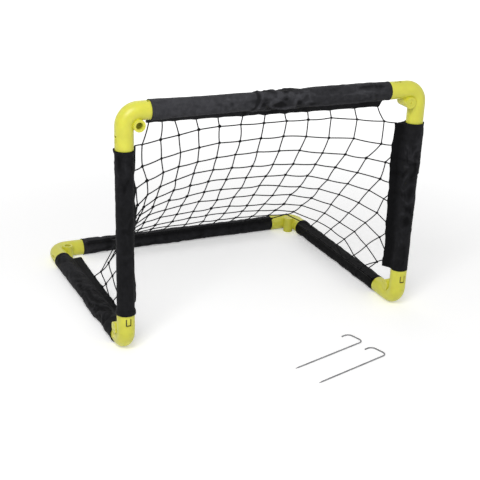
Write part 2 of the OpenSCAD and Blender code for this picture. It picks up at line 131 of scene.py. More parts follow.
class GoalStudio(bpy.types.PropertyGroup):
    """Camera and lamps."""
    lens: FloatProperty(name="Lens", description="Focal length on a 36 mm sensor", default=83.38, unit="CAMERA")
    shift: FloatVectorProperty(name="Shift", description="How far the picture is off the line of sight, in widths",
                               size=2, default=(-0.03125, 0.16667))
    position: FloatVectorProperty(name="Position", description="Camera, from the middle of the goal mouth",
                                  subtype="TRANSLATION", size=3, default=(-1.306, -2.577, 1.383))
    yaw: FloatProperty(name="Yaw", description="Turn to the right of straight ahead",
                       default=math.radians(26.13), subtype="ANGLE")
    pitch: FloatProperty(name="Pitch", description="Tilt down", default=math.radians(25.69), subtype="ANGLE")
    roll: FloatProperty(name="Roll", description="Turn about the line of sight",
                        default=math.radians(2.62), subtype="ANGLE")
    world_light: FloatProperty(name="World light", description="Soft light from all sides", default=0.34, min=0, max=1)
    floor_light: FloatProperty(name="Floor light", description="White added to the floor as the camera sees it",
                               default=0.34, min=0, max=1)
    key: FloatProperty(name="Key", description="Power of the main lamp", default=60.0, unit="POWER")
    fill: FloatProperty(name="Fill", description="Power of the lamp to the right", default=11.0, unit="POWER")
    back: FloatProperty(name="Back", description="Power of the lamp behind", default=12.0, unit="POWER")
    seed: IntProperty(name="Seed", description="Start of the cloth's and net's irregularities", default=7)


# ---- Shader nodes ----

class Value:
    """A node socket in an expression: + - * / and ** add Math nodes."""

    def __init__(self, tree, socket):
        self.tree, self.socket = tree, socket

    def _math(self, operation, *values):
        return self.tree.add("ShaderNodeMath", {"operation": operation}, dict(enumerate(values)))

    def __add__(self, other): return self._math("ADD", self, other)
    def __radd__(self, other): return self._math("ADD", other, self)
    def __sub__(self, other): return self._math("SUBTRACT", self, other)
    def __rsub__(self, other): return self._math("SUBTRACT", other, self)
    def __mul__(self, other): return self._math("MULTIPLY", self, other)
    def __rmul__(self, other): return self._math("MULTIPLY", other, self)
    def __truediv__(self, other): return self._math("DIVIDE", self, other)
    def __rtruediv__(self, other): return self._math("DIVIDE", other, self)
    def __pow__(self, other): return self._math("POWER", self, other)
    def __abs__(self): return self._math("ABSOLUTE", self)
    def sine(self): return self._math("SINE", self)
    def fraction(self): return self._math("FRACT", self)
    def least(self, other): return self._math("MINIMUM", self, other)
    def most(self, other): return self._math("MAXIMUM", self, other)

    def ramp(self, low, high, start=0.0, end=1.0):
        """Goes from start, where this is at low, to end, where it is at high."""
        return self.tree.add("ShaderNodeMapRange", {"interpolation_type": "SMOOTHSTEP"},
                             {0: self, 1: low, 2: high, 3: start, 4: end})


class Finish:
    """The node tree of a material, or of the world."""

    def __init__(self, name, owner=None):
        self.owner = owner or bpy.data.materials.new(name)
        self.owner.use_nodes = True
        self.nodes, self.links = self.owner.node_tree.nodes, self.owner.node_tree.links
        self.nodes.clear()

    def add(self, kind, settings=None, inputs=None, output=0):
        """A node of this kind with its settings and its sockets' values or links, as one of its outputs."""
        node = self.nodes.new(kind)
        for key, value in (settings or {}).items():
            setattr(node, key, value)
        for key, value in (inputs or {}).items():
            if isinstance(value, Value):
                self.links.new(value.socket, node.inputs[key])
            else:
                node.inputs[key].default_value = value
        return Value(self, node.outputs[output]) if node.outputs else None

    def seen(self):
        """One where the camera, a gloss or a clear material looks, else nought."""
        rays = [self.add("ShaderNodeLightPath", output=f"Is {kind} Ray")
                for kind in ("Camera", "Glossy", "Transmission")]
        return rays[0].most(rays[1]).most(rays[2])

    def place(self):
        return self.add("ShaderNodeTexCoord", output="Object")

    def attribute(self, name):
        return self.add("ShaderNodeAttribute", {"attribute_name": name}, output="Fac")

    def map(self, name):
        """The two directions of a piece's UV map, in metres."""
        uv = self.add("ShaderNodeUVMap", {"uv_map": name})
        return (self.add("ShaderNodeSeparateXYZ", {}, {0: uv}, output=0),
                self.add("ShaderNodeSeparateXYZ", {}, {0: uv}, output=1))

    def noise(self, where, scale, detail=3.0, roughness=0.55):
        return self.add("ShaderNodeTexNoise", {}, {"Vector": where, "Scale": scale, "Detail": detail,
                                                   "Roughness": roughness})

    def mix(self, factor, a, b):
        first, second = ((*c, 1) if isinstance(c, tuple) else c for c in (a, b))
        return self.add("ShaderNodeMix", {"data_type": "RGBA"}, {0: factor, 6: first, 7: second}, output=2)

    def bump(self, height, distance, strength=1.0):
        return self.add("ShaderNodeBump", {}, {"Height": height, "Distance": distance, "Strength": strength})

    def surface(self, **inputs):
        """Closes the tree with a Principled shader that takes these sockets."""
        shader = self.add("ShaderNodeBsdfPrincipled", {},
                          {key.replace("_", " "): value for key, value in inputs.items()})
        self.add("ShaderNodeOutputMaterial", {}, {"Surface": shader})
        return self.owner


def shade(colour, share):
    """A colour, lighter or darker by this share."""
    return tuple(min(1.0, c * share) for c in colour)


def lime_plastic(colour):
    """Moulded plastic: even colour with faint flow marks, a fine mould texture and a soft gloss."""
    f = Finish("Lime moulded plastic")
    where = f.place()
    flow = f.noise(where, 26.0, 2.0)
    grain = f.noise(where, 900.0, 2.0)
    scuff = f.noise(where, 140.0, 5.0, 0.7)
    tint = f.mix(flow.ramp(0.35, 0.7), shade(colour, 0.96), shade(colour, 1.04))
    return f.surface(Base_Color=f.mix(scuff.ramp(0.62, 0.8, 0.0, 0.25), tint, shade(colour, 0.8)),
                     Roughness=0.34 + scuff.ramp(0.5, 0.75) * 0.16,
                     Normal=f.bump(grain * 0.6 + flow * 0.8, 0.00012, 0.5),
                     Subsurface_Weight=0.06, Subsurface_Scale=0.002)


def coated_steel(colour):
    """Black powder coat over steel, with orange peel."""
    f = Finish("Black coated steel")
    where = f.place()
    peel = f.noise(where, 420.0, 2.0)
    worn = f.noise(where, 30.0, 5.0, 0.7)
    return f.surface(Base_Color=f.mix(worn.ramp(0.6, 0.75), colour, shade(colour, 2.4)),
                     Roughness=0.38 + worn.ramp(0.45, 0.75) * 0.2, Normal=f.bump(peel, 0.00008, 0.4))


def zinc_steel(name, colour, roughness):
    """Zinc plated steel with spangle, drawn scratches and dull patches."""
    f = Finish(name)
    where = f.place()
    spangle = f.noise(where, 260.0, 3.0)
    dull = f.noise(where, 60.0, 4.0, 0.65)
    return f.surface(Base_Color=f.mix(dull.ramp(0.4, 0.7), shade(colour, 0.8), shade(colour, 1.25)), Metallic=0.85,
                     Roughness=roughness + dull.ramp(0.4, 0.75) * 0.18, Normal=f.bump(spangle, 0.00006, 0.4))


def woven_cloth(colour):
    """Black polyester: a plain weave in the cloth's own directions, stitch rows along the flap and at the hems."""
    f = Finish("Black woven cloth")
    along, across = f.map("cloth")
    edge, hem = f.attribute("edge"), f.attribute("hem")
    where = f.place()
    thread = 2 * math.pi / THREAD
    warp, weft = (along * thread).sine(), (across * thread).sine()
    weave = warp * weft * 0.5 + 0.5
    slub = f.noise(where, 75.0, 4.0, 0.6)
    stitch, hem_stitch = ((way / STITCH).fraction().ramp(0.62, 0.7, 1.0, 0.0) for way in (along, across))
    near = [abs(off).ramp(0.0004, 0.0009, 1.0, 0.0) for off in (edge - SEAMS[0], edge - SEAMS[1], hem - HEM)]
    rows = (near[0] * stitch + near[1] * stitch + near[2] * hem_stitch).least(1.0)
    tint = f.mix(slub.ramp(0.35, 0.7), shade(colour, 0.8), shade(colour, 1.25))
    # Lighter where the weave stands highest, as its bump shows: a painted highlight on the threads' crowns.
    tint = f.mix(weave.ramp(0.2, 0.9, 0.0, 0.35), tint, shade(colour, 1.7))
    # Painted light and shade: a painted highlight on the folds' crests, painted shade in their hollows and on the
    # flap, all scaled by the sleeve's share of painted light.
    fold = f.attribute("fold")
    painted_shading = fold.ramp(-0.8, 0.2, 0.35, 1.0) * fold.ramp(0.3, 1.0, 1.0, 1.8) * edge.ramp(0.018, 0.034, 0.4, 1.0)
    tint = f.add("ShaderNodeVectorMath", {"operation": "SCALE"},
                 {0: f.mix(rows * 0.35, tint, shade(colour, 1.8)), "Scale": painted_shading * f.attribute("tone")})
    return f.surface(Base_Color=tint, Roughness=0.5 + slub * 0.2,
                     Normal=f.bump(weave * 0.25 + slub * 0.9 - rows * 1.2, 0.0005, 0.7),
                     Specular_IOR_Level=0.04)


def twisted_cord(colour):
    """Black cord laid from three strands: slanting grooves round the cord, with loose fibres."""
    f = Finish("Black net cord")
    along, around = f.map("cord")
    fibre = f.noise(f.place(), 1200.0, 2.0)
    lay = ((along / 0.0058 + around * 3.0) * (2 * math.pi)).sine() * 0.5 + 0.5
    # The colour is darker in the lay's grooves and lighter on the strands' crowns: painted shade and painted
    # highlight.
    return f.surface(Base_Color=f.mix(lay.ramp(0.1, 0.9), shade(colour, 0.6), shade(colour, 1.7)),
                     Roughness=0.7 + fibre * 0.15, Normal=f.bump(lay + fibre * 0.3, 0.0005, 0.6),
                     Specular_IOR_Level=0.1)


# ---- Surfaces ----

def unit(v):
    """Vectors made one long."""
    return v / np.maximum(np.linalg.norm(v, axis=-1, keepdims=True), 1e-12)


def smooth(t):
    """A step from 0 to 1 with level ends: three t squared less two t cubed."""
    t = np.clip(t, 0, 1)
    return t * t * (3 - 2 * t)


def bell(x, width):
    """One at nought, falling off to both sides: e to the power of minus (x / width) squared."""
    return np.exp(-(x / width) ** 2)


def between(a, b, share):
    """From a, where share is 0, to b, where it is 1."""
    return a * (1 - share) + b * share


def line(points, s):
    """The height at s of straight lines joined at these (place, height) points."""
    return np.interp(s, *np.array(points, float).T)


def noise(x, y, seed, wrap=64):
    """Value noise from -1 to 1: seeded numbers at whole x and y, joined by smooth steps; y comes round at wrap."""
    table = np.random.default_rng(seed).uniform(-1, 1, (256, wrap))
    i, j = np.floor(x).astype(int), np.floor(y).astype(int)
    u, v = smooth(x - i), smooth(y - j)
    i0, i1, j0, j1 = i % 256, (i + 1) % 256, j % wrap, (j + 1) % wrap
    return between(between(table[i0, j0], table[i1, j0], u), between(table[i0, j1], table[i1, j1], u), v)


def grid_faces(rows, columns):
    """Quads of a grid whose columns close on themselves."""
    i = np.arange(rows - 1)[:, None]
    j = np.arange(columns)[None, :]
    k = (j + 1) % columns
    quads = np.stack([i * columns + j, i * columns + k, (i + 1) * columns + k, (i + 1) * columns + j], -1)
    return quads.reshape(-1, 4)


def copies(quads, count, points):
    """The same quads for count equal meshes that follow each other, each with this many points."""
    return (quads[None] + (np.arange(count) * points)[:, None, None]).reshape(-1, 4)


def new_piece(name, points, quads, uv_name, uv, material):
    """A smooth mesh object at the origin, from its points, its quads and one UV pair for each corner."""
    mesh = bpy.data.meshes.new(name)
    mesh.vertices.add(len(points))
    mesh.vertices.foreach_set("co", points.astype(np.float32).ravel())
    mesh.loops.add(quads.size)
    mesh.loops.foreach_set("vertex_index", quads.astype(np.int32).ravel())
    mesh.polygons.add(len(quads))
    mesh.polygons.foreach_set("loop_start", np.arange(0, quads.size, 4, dtype=np.int32))
    layer = mesh.uv_layers.new(name=uv_name)
    layer.data.foreach_set("uv", uv.astype(np.float32).ravel())
    mesh.polygons.foreach_set("use_smooth", np.ones(len(quads), bool))
    mesh.update(calc_edges=True)
    mesh.validate()
    mesh.materials.append(material)
    piece = bpy.data.objects.new(name, mesh)
    bpy.context.scene.collection.objects.link(piece)
    return piece


# ---- Sleeves ----

class Sleeve:
    """One sleeve: a tube of cloth along a line, with a flat double flap to one side, in metres from its corner."""

    def __init__(self, name, body, corner, along, flap, start, end, flap_start, flap_end, over=(), girth=((0, 0),),
                 twist=((0, 0),), reach=((0, 0),), loose=1.0, flare=(0.0, 0.0), crumples=(), ridge=None, seed=1,
                 radius=0.0236, tone=((0, 1),)):
        self.name, self.body = name, body
        self.corner, self.along, self.flap = (np.array(v, float) for v in (corner, along, flap))
        self.flap = unit(self.flap)
        self.side = np.cross(self.along, self.flap)
        self.start, self.end, self.flap_start, self.flap_end = start, end, flap_start, flap_end
        self.over, self.girth, self.twist, self.reach = over, girth, twist, reach
        # The table of colour shares scales the cloth's colour along the sleeve: painted light and shade.
        self.loose, self.flare, self.seed, self.tone = loose, flare, seed, tone
        self.crumples, self.ridge, self.radius = crumples, ridge, radius

    def rests_on(self):
        """The tube inside the sleeve."""
        return [self.name.replace("sleeve", "tube")]

    def lift(self, s):
        """How far the flap's edge waves out of its plane at s."""
        return self.loose * 0.0016 * noise(s / 0.07, s * 0 + 3, self.seed + 11)

    def width(self, s):
        """The flap's free edge at s, from the tube's centre line."""
        return bpy.context.scene.goal_sizes.flap_reach + line(self.reach, s)

    def directions(self, s):
        """The flap's direction and its normal at s: the flap turns about the tube along its length."""
        turn = np.radians(line(self.twist, s))[..., None]
        cos, sin = np.cos(turn), np.sin(turn)
        return self.flap * cos + self.side * sin, self.side * cos - self.flap * sin

    def hold(self, s, inside=0.0):
        """The point on the flap's free edge, or this far inside it, at s."""
        s = np.asarray(s, float)
        flap, side = self.directions(s)
        return (self.corner + self.along * s[..., None] + flap * (self.width(s) - inside)[..., None]
                + side * self.lift(s)[..., None])

    def socket(self, s):
        """One where the cloth lies over an elbow's socket at s, else nought, with soft steps."""
        cover = np.zeros_like(s)
        for a, b in self.over:
            cover = np.maximum(cover, smooth((s - a + SOCKET_EASE) / SOCKET_EASE)
                               * smooth((b + SOCKET_EASE - s) / SOCKET_EASE))
        return cover

    def past_ridge(self, s, turn):
        """The distance past the gathered ridge, which slants and wavers round the tube."""
        return s + 0.010 * np.cos(turn * 2 * math.pi) + 0.004 * noise(turn * 5, s * 0, self.seed + 31) - self.ridge

    def snug_radius(self, s, turn, elbow_radius):
        """The radius without creases: the sleeve's own and its girth, a ridge with a hollow before it, wider over
        sockets, a stitched groove at each hem and a flare at each end."""
        r = self.radius + line(self.girth, s + 0.010 * np.cos(turn * 2 * math.pi))
        if self.ridge:
            past = self.past_ridge(s, turn)
            r = r + 0.0020 * bell(past, 0.004) - 0.0014 * bell(past + 0.009, 0.004)
        r = between(r, np.maximum(r, elbow_radius + 0.0014), self.socket(s))
        nearest = np.minimum(s - self.start, self.end - s)
        r = r - 0.0005 * bell(nearest - HEM, 0.0016) + 0.0003 * bell(nearest, 0.003)
        return (r + self.flare[0] * smooth(1 - (s - self.start) / 0.03)
                + self.flare[1] * smooth(1 - (self.end - s) / 0.02))

    def creases(self, s, turn, crumple):
        """How loose the cloth is at s, and how far its creases stand out there: broad hollows, slanting folds that
        run off the flap's pull, short crinkles and long streaks. Each fold is one less the noise's size, so that it
        has a crest; the noise is read at places that are themselves shifted by noise, so that no fold repeats or
        runs straight. Creases are shallow at the hems and over sockets."""
        loose = self.loose * crumple + 0 * s
        for place, width, strength in self.crumples:
            loose = loose + strength * crumple * bell(s - place, width)
        shift = noise(s / 0.052, turn * 4, self.seed + 2, 4)
        swirl = noise(s / 0.045 + 7, turn * 5, self.seed + 4, 5)
        folds = 1 - np.abs(noise(s / 0.036 + 0.9 * swirl, turn * 6 + 0.8 * shift, self.seed, 6)) * 2.6
        crinkle = 1 - np.abs(noise(s / 0.015 + 0.8 * shift, turn * 14 + 0.9 * swirl, self.seed + 5, 14)) * 2.6
        broad = noise(s / 0.085 + 0.4 * shift, turn * 3, self.seed + 9, 3)
        streak = noise(s / 0.30, turn * 9, self.seed + 15, 9)
        crease = loose * (0.0008 * broad + 0.0009 * folds + 0.0004 * crinkle) + 0.0006 * streak
        nearest = np.minimum(s - self.start, self.end - s)
        return loose, crease * (1 - 0.6 * self.socket(s)) * (0.35 + 0.65 * smooth(nearest / 0.03))


def profile():
    """The points across a sleeve: t goes from 0 at the flap's edge to 1 where it meets the round, and back on the
    flap's other face; turn goes from 0 to 1 round the tube; sign is 1 on the flap's first face and -1 on the other."""
    t = np.concatenate([np.linspace(0, 1, FLAP_POINTS, endpoint=False), np.ones(ROUND_POINTS),
                        np.linspace(1, 0, FLAP_POINTS + 1)[1:]])
    turn = np.concatenate([np.zeros(FLAP_POINTS), np.linspace(0, 1, ROUND_POINTS), np.ones(FLAP_POINTS)])
    return t[None], turn[None], np.where(turn < 0.5, 1.0, -1.0)[None]


def sleeve_points(sleeve, sizes, holds):
    """The cloth's points, UV in metres and fields: distances from the flap's edge and the hems, a share of painted
    light and shade, and the folds' heights, from which the material paints shade and highlight.
    Across the tube the profile starts at the flap's edge, runs in along one face of the flap, round the tube and
    out along the other face. Radius, flap width and creases are functions of the place along the tube and round it."""
    rings = int((sleeve.end - sleeve.start) / RING_STEP) + 1
    s = np.linspace(sleeve.start, sleeve.end, rings)[:, None]
    t, turn, sign = profile()
    is_strip = t < 0.999
    r = sleeve.snug_radius(s, turn, sizes.elbow_radius)
    loose, crease = sleeve.creases(s, turn, sizes.crumple)
    round_r = np.maximum(r + crease, between(LEAST_RADIUS, sizes.elbow_radius + 0.0010, sleeve.socket(s)))

    # Where there is no flap the profile closes to a full circle; elsewhere it opens by the angle of the flap's foot.
    has_flap = smooth((s - sleeve.flap_start) / FLAP_TAPER) * smooth((sleeve.flap_end - s) / FLAP_TAPER)
    open_angle = between(math.radians(2), FLAP_LEAVE, has_flap)
    theta = open_angle + turn * (2 * math.pi - 2 * open_angle)
    ring_x, ring_y = round_r * np.cos(theta), round_r * np.sin(theta)
    foot_x, foot_y = r * np.cos(open_angle), r * np.sin(open_angle)

    # The flap's edge is drawn out a little where a strand pulls at it.
    full = sleeve.width(s)
    reach = full - 0.0011 * has_flap + sum(0.0022 * bell(s - h, 0.010) for h in holds)
    reach = np.minimum(reach, full + 0.0016)

    # In along the flap: first flat, then over a soft curve to where the cloth meets the round.
    root = sizes.elbow_radius + 0.008
    bend = smooth((t - FLAT_SHARE) / (1 - FLAT_SHARE))
    strip_x = between(between(reach, root, np.clip(t / FLAT_SHARE, 0, 1)), foot_x, bend)
    strip_y = between(sizes.cloth * 1.15 * np.minimum(1, 0.35 + 4 * t), foot_y, bend)
    x = np.where(is_strip, between(ring_x, strip_x, has_flap), ring_x)
    y = np.where(is_strip, between(foot_y, strip_y, has_flap) * sign, ring_y)
    outward = smooth((x - 0.022) / (sizes.flap_reach - 0.022)) * has_flap * is_strip
    y = y + outward * (sleeve.lift(s) + loose * 0.0007 * noise(s / 0.016, x / 0.02, sleeve.seed + 21))
    flap, side = sleeve.directions(s)
    points = sleeve.corner + sleeve.along * s[..., None] + flap * x[..., None] + side * y[..., None]
    points[..., 2] = np.maximum(points[..., 2], GROUND_GAP)

    step = np.hypot(np.diff(x, axis=1, append=x[:, :1]), np.diff(y, axis=1, append=y[:, :1]))
    across = np.concatenate([np.zeros_like(s), np.cumsum(step, 1)], 1)
    # Fold heights for the material, which paints shade into the hollows and a highlight on the crests; half as strong
    # on the flap.
    fold = np.clip(crease / 0.0018, -1, 1) * (1 - 0.5 * is_strip)
    # The gathered ridge gets a painted highlight and the hollow before it painted shade.
    if sleeve.ridge:
        past = sleeve.past_ridge(s, turn)
        fold = fold + 0.8 * bell(past, 0.004) - 1.3 * bell(past + 0.009, 0.0045)
    fields = {"edge": np.where(is_strip, between(1, reach - x, has_flap), 1.0),
              "hem": np.minimum(s - sleeve.start, sleeve.end - s), "tone": line(sleeve.tone, s), "fold": fold}
    return points, np.broadcast_to(s, x.shape), across, {k: np.broadcast_to(v, x.shape) for k, v in fields.items()}


def add_sleeve(sleeve, sizes, material, holds):
    """The sleeve's cloth as one piece, on its body, in place of its solid."""
    points, along, across, fields = sleeve_points(sleeve, sizes, holds)
    rows, columns = along.shape
    quads = grid_faces(rows, columns)
    ring, place = np.divmod(np.arange((rows - 1) * columns), columns)
    corners = ((ring, place), (ring, place + 1), (ring + 1, place + 1), (ring + 1, place))
    uv = np.stack([np.stack([along[i, j % columns], across[i, j]], -1) for i, j in corners], 1)
    # The profile runs against the clock seen from the start where side = along x flap, so quads face out.
    piece = new_piece(sleeve.name + "_cloth", points.reshape(-1, 3), quads[:, ::-1], "cloth", uv[:, ::-1], material)
    for name, values in fields.items():
        attribute = piece.data.attributes.new(name, "FLOAT", "POINT")
        attribute.data.foreach_set("value", values.astype(np.float32).ravel())
    wall = piece.modifiers.new("Cloth", "SOLIDIFY")
    wall.thickness = sizes.cloth
    wall.offset = -1
    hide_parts(sleeve.name)
    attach(piece, sleeve.body)
    sleeve.rests_on()
    return piece


def all_sleeves(sizes):
    """The six sleeves, with their corners, directions, hems and the parts of the sockets that they cover."""
    w, h, d = sizes.half_width, sizes.height, sizes.depth
    low, steep, high, flat = (math.radians(a) for a in (27, 45, 40, 5))
    left, right = (-w, POST_Y, BASE_Z), (w, POST_Y, BASE_Z)
    top_leg, post_leg, side_leg, rear_leg, flap_set = 0.097, 0.095, 0.105, 0.090, 0.094
    mouth = h - top_leg
    # The colour shares of each sleeve are painted light and shade: the crossbar is painted lighter, most along its
    # left part, and the posts and side tubes darker.
    return {
        "crossbar": Sleeve("crossbar_sleeve", "front_frame", (-w, POST_Y, BASE_Z + h), (1, 0, 0),
                           (0, math.sin(low), -math.cos(low)), 0.066, 2 * w - 0.097, 0.066, 2 * w - 0.104,
                           over=((0.0, top_leg),), ridge=0.362, loose=0.4, seed=3, radius=0.0230,
                           tone=((0.06, 1.7), (0.35, 1.6), (0.375, 0.9), (0.49, 1.0), (0.53, 1.1), (0.76, 1.15)),
                           girth=((0.06, 0.0026), (0.12, 0.0020), (0.23, 0.0), (0.350, 0.0), (0.362, 0.0016),
                                  (0.42, 0.0014), (0.455, 0.0030), (0.485, 0.0012), (0.53, 0.0018), (0.60, 0.0020),
                                  (0.66, 0.0012), (0.76, 0.0014)),
                           twist=((0.066, 11.0), (0.25, 8.0), (0.40, 4.0), (0.56, 0.0), (0.76, -2.5)),
                           crumples=((0.40, 0.035, 2.2), (0.45, 0.03, 2.0), (0.50, 0.03, 1.2), (0.68, 0.05, 1.0),
                                     (0.28, 0.03, 0.4))),
        "left_post": Sleeve("left_post_sleeve", "front_frame", left, (0, 0, 1),
                            (math.cos(steep), math.sin(steep), 0), 0.088, mouth + 0.0005, 0.098, mouth,
                            over=((0.0, post_leg), (mouth - 0.002, h)), loose=0.5, crumples=((0.50, 0.05, 0.9),),
                            flare=(0.0006, 0.0016), seed=17, radius=0.0232, tone=((0, 0.42),),
                            twist=((0.098, -5), (0.15, -5), (0.20, 0), (0.31, 0), (0.345, -8), (0.37, -8),
                                   (0.39, -3), (0.426, -8), (0.45, 0), (0.50, -6))),
        "right_post": Sleeve("right_post_sleeve", "front_frame", right, (0, 0, 1),
                             (-math.cos(low), math.sin(low), 0), 0.0955, mouth + 0.002, 0.098, mouth,
                             over=((mouth - 0.002, h),), loose=0.7,
                             girth=((0.384, 0.0), (0.390, 0.0026), (0.5, 0.0026)),
                             reach=((0.098, 0), (0.15, -0.004), (0.25, 0), (0.36, 0.001), (0.39, 0.004), (0.47, 0.004),
                                    (0.53, 0.001)),
                             crumples=((0.46, 0.07, 1.2), (0.30, 0.05, 0.5)), flare=(0.0004, 0.0006), seed=29,
                             radius=0.0238, tone=((0, 0.48),)),
        "left_side": Sleeve("left_side_sleeve", "base", left, (0, 1, 0), (math.cos(flat), 0, math.sin(flat)),
                            0.056, d - rear_leg - CUT, 0.106, d - flap_set, over=((0.0, side_leg),), loose=0.9,
                            reach=((0.12, -0.004), (0.18, -0.006), (0.28, -0.003), (0.44, 0), (0.60, 0.007)),
                            crumples=((0.24, 0.10, 1.8), (0.10, 0.05, 1.2)), flare=(0.0010, 0.0008), seed=41,
                            radius=0.0244, tone=((0.1, 0.3), (0.5, 0.48))),
        "right_side": Sleeve("right_side_sleeve", "base", right, (0, 1, 0), (-math.cos(high), 0, math.sin(high)),
                             side_leg + CUT, d - rear_leg + 0.012, side_leg + CUT, d - flap_set,
                             over=((d - rear_leg - 0.002, d),), loose=1.1,
                             reach=((0.15, 0), (0.25, -0.004), (0.45, -0.004), (0.57, -0.004), (0.60, -0.014)),
                             crumples=((0.30, 0.08, 0.8),), seed=53, radius=0.0236, tone=((0, 0.14),)),
        "rear": Sleeve("rear_sleeve", "base", (-w, POST_Y + d, BASE_Z), (1, 0, 0),
                       (0, -math.cos(high), math.sin(high)), rear_leg + CUT, 2 * w - rear_leg - CUT,
                       flap_set, 2 * w - flap_set, loose=0.9,
                       girth=((0.09, 0.0022), (0.15, 0.0012), (0.40, 0.0012), (0.5, 0.0)),
                       crumples=((0.16, 0.06, 1.0), (0.42, 0.06, 0.6)), seed=61, radius=0.0230,
                       tone=((0.1, 1.1), (0.4, 0.7))),
    }


# ---- Net ----

# The crossbar holds columns 0 to LAST; BEYOND more on each side start lower, at the posts. Each list goes outward.
LAST, BEYOND, ROWS = 11, 4, 10
FIRST_ROW, LAST_ROW = (1, 3, 5, 7, 8), (10, 10, 10, 9, 9)
# Places at which the sleeves hold the columns and rows, along each sleeve from its corner.
CROSSBAR_PLACES = (0.077, 0.112, 0.146, 0.205, 0.267, 0.338, 0.403, 0.460, 0.528, 0.596, 0.673, 0.746)
ROW_HEIGHTS = (0.474, 0.417, 0.363, 0.306, 0.238, 0.148)
COLUMN_HEIGHTS = (0.443, 0.328, 0.210, 0.121)
ROW_DISTANCES = (0.140, 0.162, 0.273)
COLUMN_DISTANCES = (0.524, 0.441, 0.363, 0.252, 0.178)
# Tension of the strands tied to each sleeve, against those between knots.
PULLS = {"crossbar": 2.35, "rear": 0.60, "left_post": 2.91, "right_post": 3.02,
         "left_side": 1.41, "right_side": 1.41}
# Directions of a knot's neighbours, as (columns, rows): right, up, left and down.
STEPS = ((1, 0), (0, -1), (-1, 0), (0, 1))


def outside(c):
    """How many columns c lies past the crossbar's."""
    return max(-c, c - LAST, 0)


def is_knot(c, r):
    return outside(c) <= BEYOND and FIRST_ROW[outside(c)] <= r <= LAST_ROW[outside(c)]


def held_at(c, r, k, sizes):
    """The sleeve and the place along it that hold the strand leaving knot (c, r) in direction k."""
    side = "right" if c > LAST / 2 else "left"
    if k == 1 and outside(c) == 0:
        return "crossbar", CROSSBAR_PLACES[c]
    if k == 1:
        return side + "_post", COLUMN_HEIGHTS[outside(c) - 1]
    if k == 3 and 0 <= c < LAST:
        return "rear", 2 * sizes.half_width - 0.0964 - 0.059 * (LAST - 1 - c)
    if k == 3:
        return side + "_side", COLUMN_DISTANCES[outside(c)]
    side = "right" if k == 0 else "left"
    if r > 7:
        return side + "_side", ROW_DISTANCES[r - 8]
    return side + "_post", sizes.height - 0.1004 if r == 1 else ROW_HEIGHTS[r - 2]


def net_table(sizes):
    """The knots as (column, row), each knot's four neighbours by number, and the held ends, numbered on from the
    knots, as (knot, direction, hold)."""
    knots = [(c, r) for c in range(-BEYOND, LAST + BEYOND + 1) for r in range(1, ROWS + 1) if is_knot(c, r)]
    number = {q: n for n, q in enumerate(knots)}
    next_to = np.full((len(knots), 4), -1)
    ends = []
    for n, (c, r) in enumerate(knots):
        for k, (dc, dr) in enumerate(STEPS):
            if (c + dc, r + dr) in number:
                next_to[n, k] = number[c + dc, r + dr]
            else:
                next_to[n, k] = len(knots) + len(ends)
                ends.append((n, k, held_at(c, r, k, sizes)))
    return knots, next_to, ends


def settle(knots, next_to, ends, held, sizes):
    """Every knot's place: the mean of its four neighbours, weighted by tension, less its own weight, solved for all
    knots at once. The tension falls from row to row, and the strands to the sleeves pull by the length they are
    tied at."""
    count = len(knots)
    row = np.array(knots)[:, 1]
    level = sizes.row_tension * np.exp(-0.63 * (row - 5))
    weight = np.stack([level, np.exp(-0.02 * (row - 6)), level, np.exp(-0.02 * (row - 5))], 1)
    for n, k, (name, at) in ends:
        weight[n, k] *= PULLS[name] if name != "crossbar" or at > 0.15 else 0.9
    matrix = np.zeros((count, count + len(held)))
    here = np.arange(count)
    for k in range(4):
        matrix[here, next_to[:, k]] -= weight[:, k]
    matrix[here, here] += weight.sum(1)
    sag = 0.001 * np.exp(0.39 * (row - 5))[:, None] * np.array([0, 0, 1])
    return np.linalg.solve(matrix[:, :count], -matrix[:, count:] @ held - sag)


def tubes(path, normal, radius):
    """Cords along many paths at once, path[strand, step]: rings of points about each step, square to the path.
    Returns the points, the quads and the UV of each corner: metres along the cord and turns round it."""
    strands, steps = path.shape[:2]
    tangent = unit(np.gradient(path, axis=1))
    side = unit(np.cross(normal, tangent))
    up = np.cross(tangent, side)
    turn = np.arange(CORD_SIDES) / CORD_SIDES * 2 * math.pi
    ring = side[:, :, None] * np.cos(turn)[:, None] + up[:, :, None] * np.sin(turn)[:, None]
    points = path[:, :, None] + ring * radius
    quads = copies(grid_faces(steps, CORD_SIDES), strands, steps * CORD_SIDES)
    run = np.concatenate([np.zeros((strands, 1)), np.cumsum(np.linalg.norm(np.diff(path, axis=1), axis=2), 1)], 1)
    row, column = np.divmod(np.arange((steps - 1) * CORD_SIDES), CORD_SIDES)
    u = np.stack([run[:, row], run[:, row], run[:, row + 1], run[:, row + 1]], -1)
    v = np.stack([column, column + 1, column + 1, column], -1) / CORD_SIDES
    uv = np.stack([u, np.broadcast_to(v, u.shape)], -1)
    return points.reshape(-1, 3), quads, uv.reshape(-1, 4, 2)


def net_directions(every, next_to):
    """The net's two directions at each knot, each from one neighbour to the opposite one."""
    return every[next_to[:, 0]] - every[next_to[:, 2]], every[next_to[:, 1]] - every[next_to[:, 3]]


